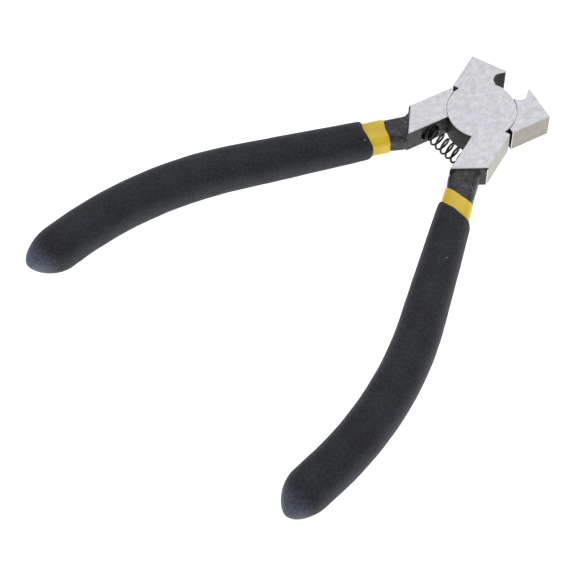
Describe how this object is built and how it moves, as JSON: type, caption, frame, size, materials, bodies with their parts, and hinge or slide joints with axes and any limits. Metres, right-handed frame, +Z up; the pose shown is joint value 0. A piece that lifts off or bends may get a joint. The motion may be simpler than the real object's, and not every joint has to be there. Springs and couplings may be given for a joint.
{
  "type": "end-cutting nippers",
  "caption": "Small spring-return end nippers for mosaic glass, with a round lap joint, wide square jaws and bowed, double-dipped grips.",
  "frame": {"origin": "on the pivot axis, at the flat lower face of the head", "axes": "+Y from the pivot to the jaws along the line midway between the handles, +Z up along the pivot axis, +X to the right seen from above"},
  "size_m": [0.0908, 0.1147, 0.0101],
  "materials": {
    "forged_steel": "drop-forged tool steel, black oxide in the forged hollows, head faces and sides ground bright",
    "rivet_steel": "steel rivet peened and ground flush with the head",
    "spring_wire": "hard-drawn wire, black oxide",
    "yellow_coat": "thin first dip of yellow PVC, softly glossy",
    "black_coat": "thick second dip of foamed black PVC with a fine matte grain"
  },
  "bodies": {
    "lower_half": {"lower_lever": "forged_steel", "lower_inner_coat": "yellow_coat", "lower_grip": "black_coat", "return_spring": "spring_wire"},
    "upper_half": {"upper_lever": "forged_steel", "upper_inner_coat": "yellow_coat", "upper_grip": "black_coat", "pivot_rivet": "rivet_steel"}
  },
  "joints": [
    {"name": "lap_pivot", "type": "hinge", "parent": "lower_half", "child": "upper_half", "pos_m": [0, 0, 0.00325], "axis": [0, 0, 1], "range_deg": [-32.6, 4], "stiffness_Nm_per_rad": 0.12, "deforming": ["return_spring"]}
  ]
}
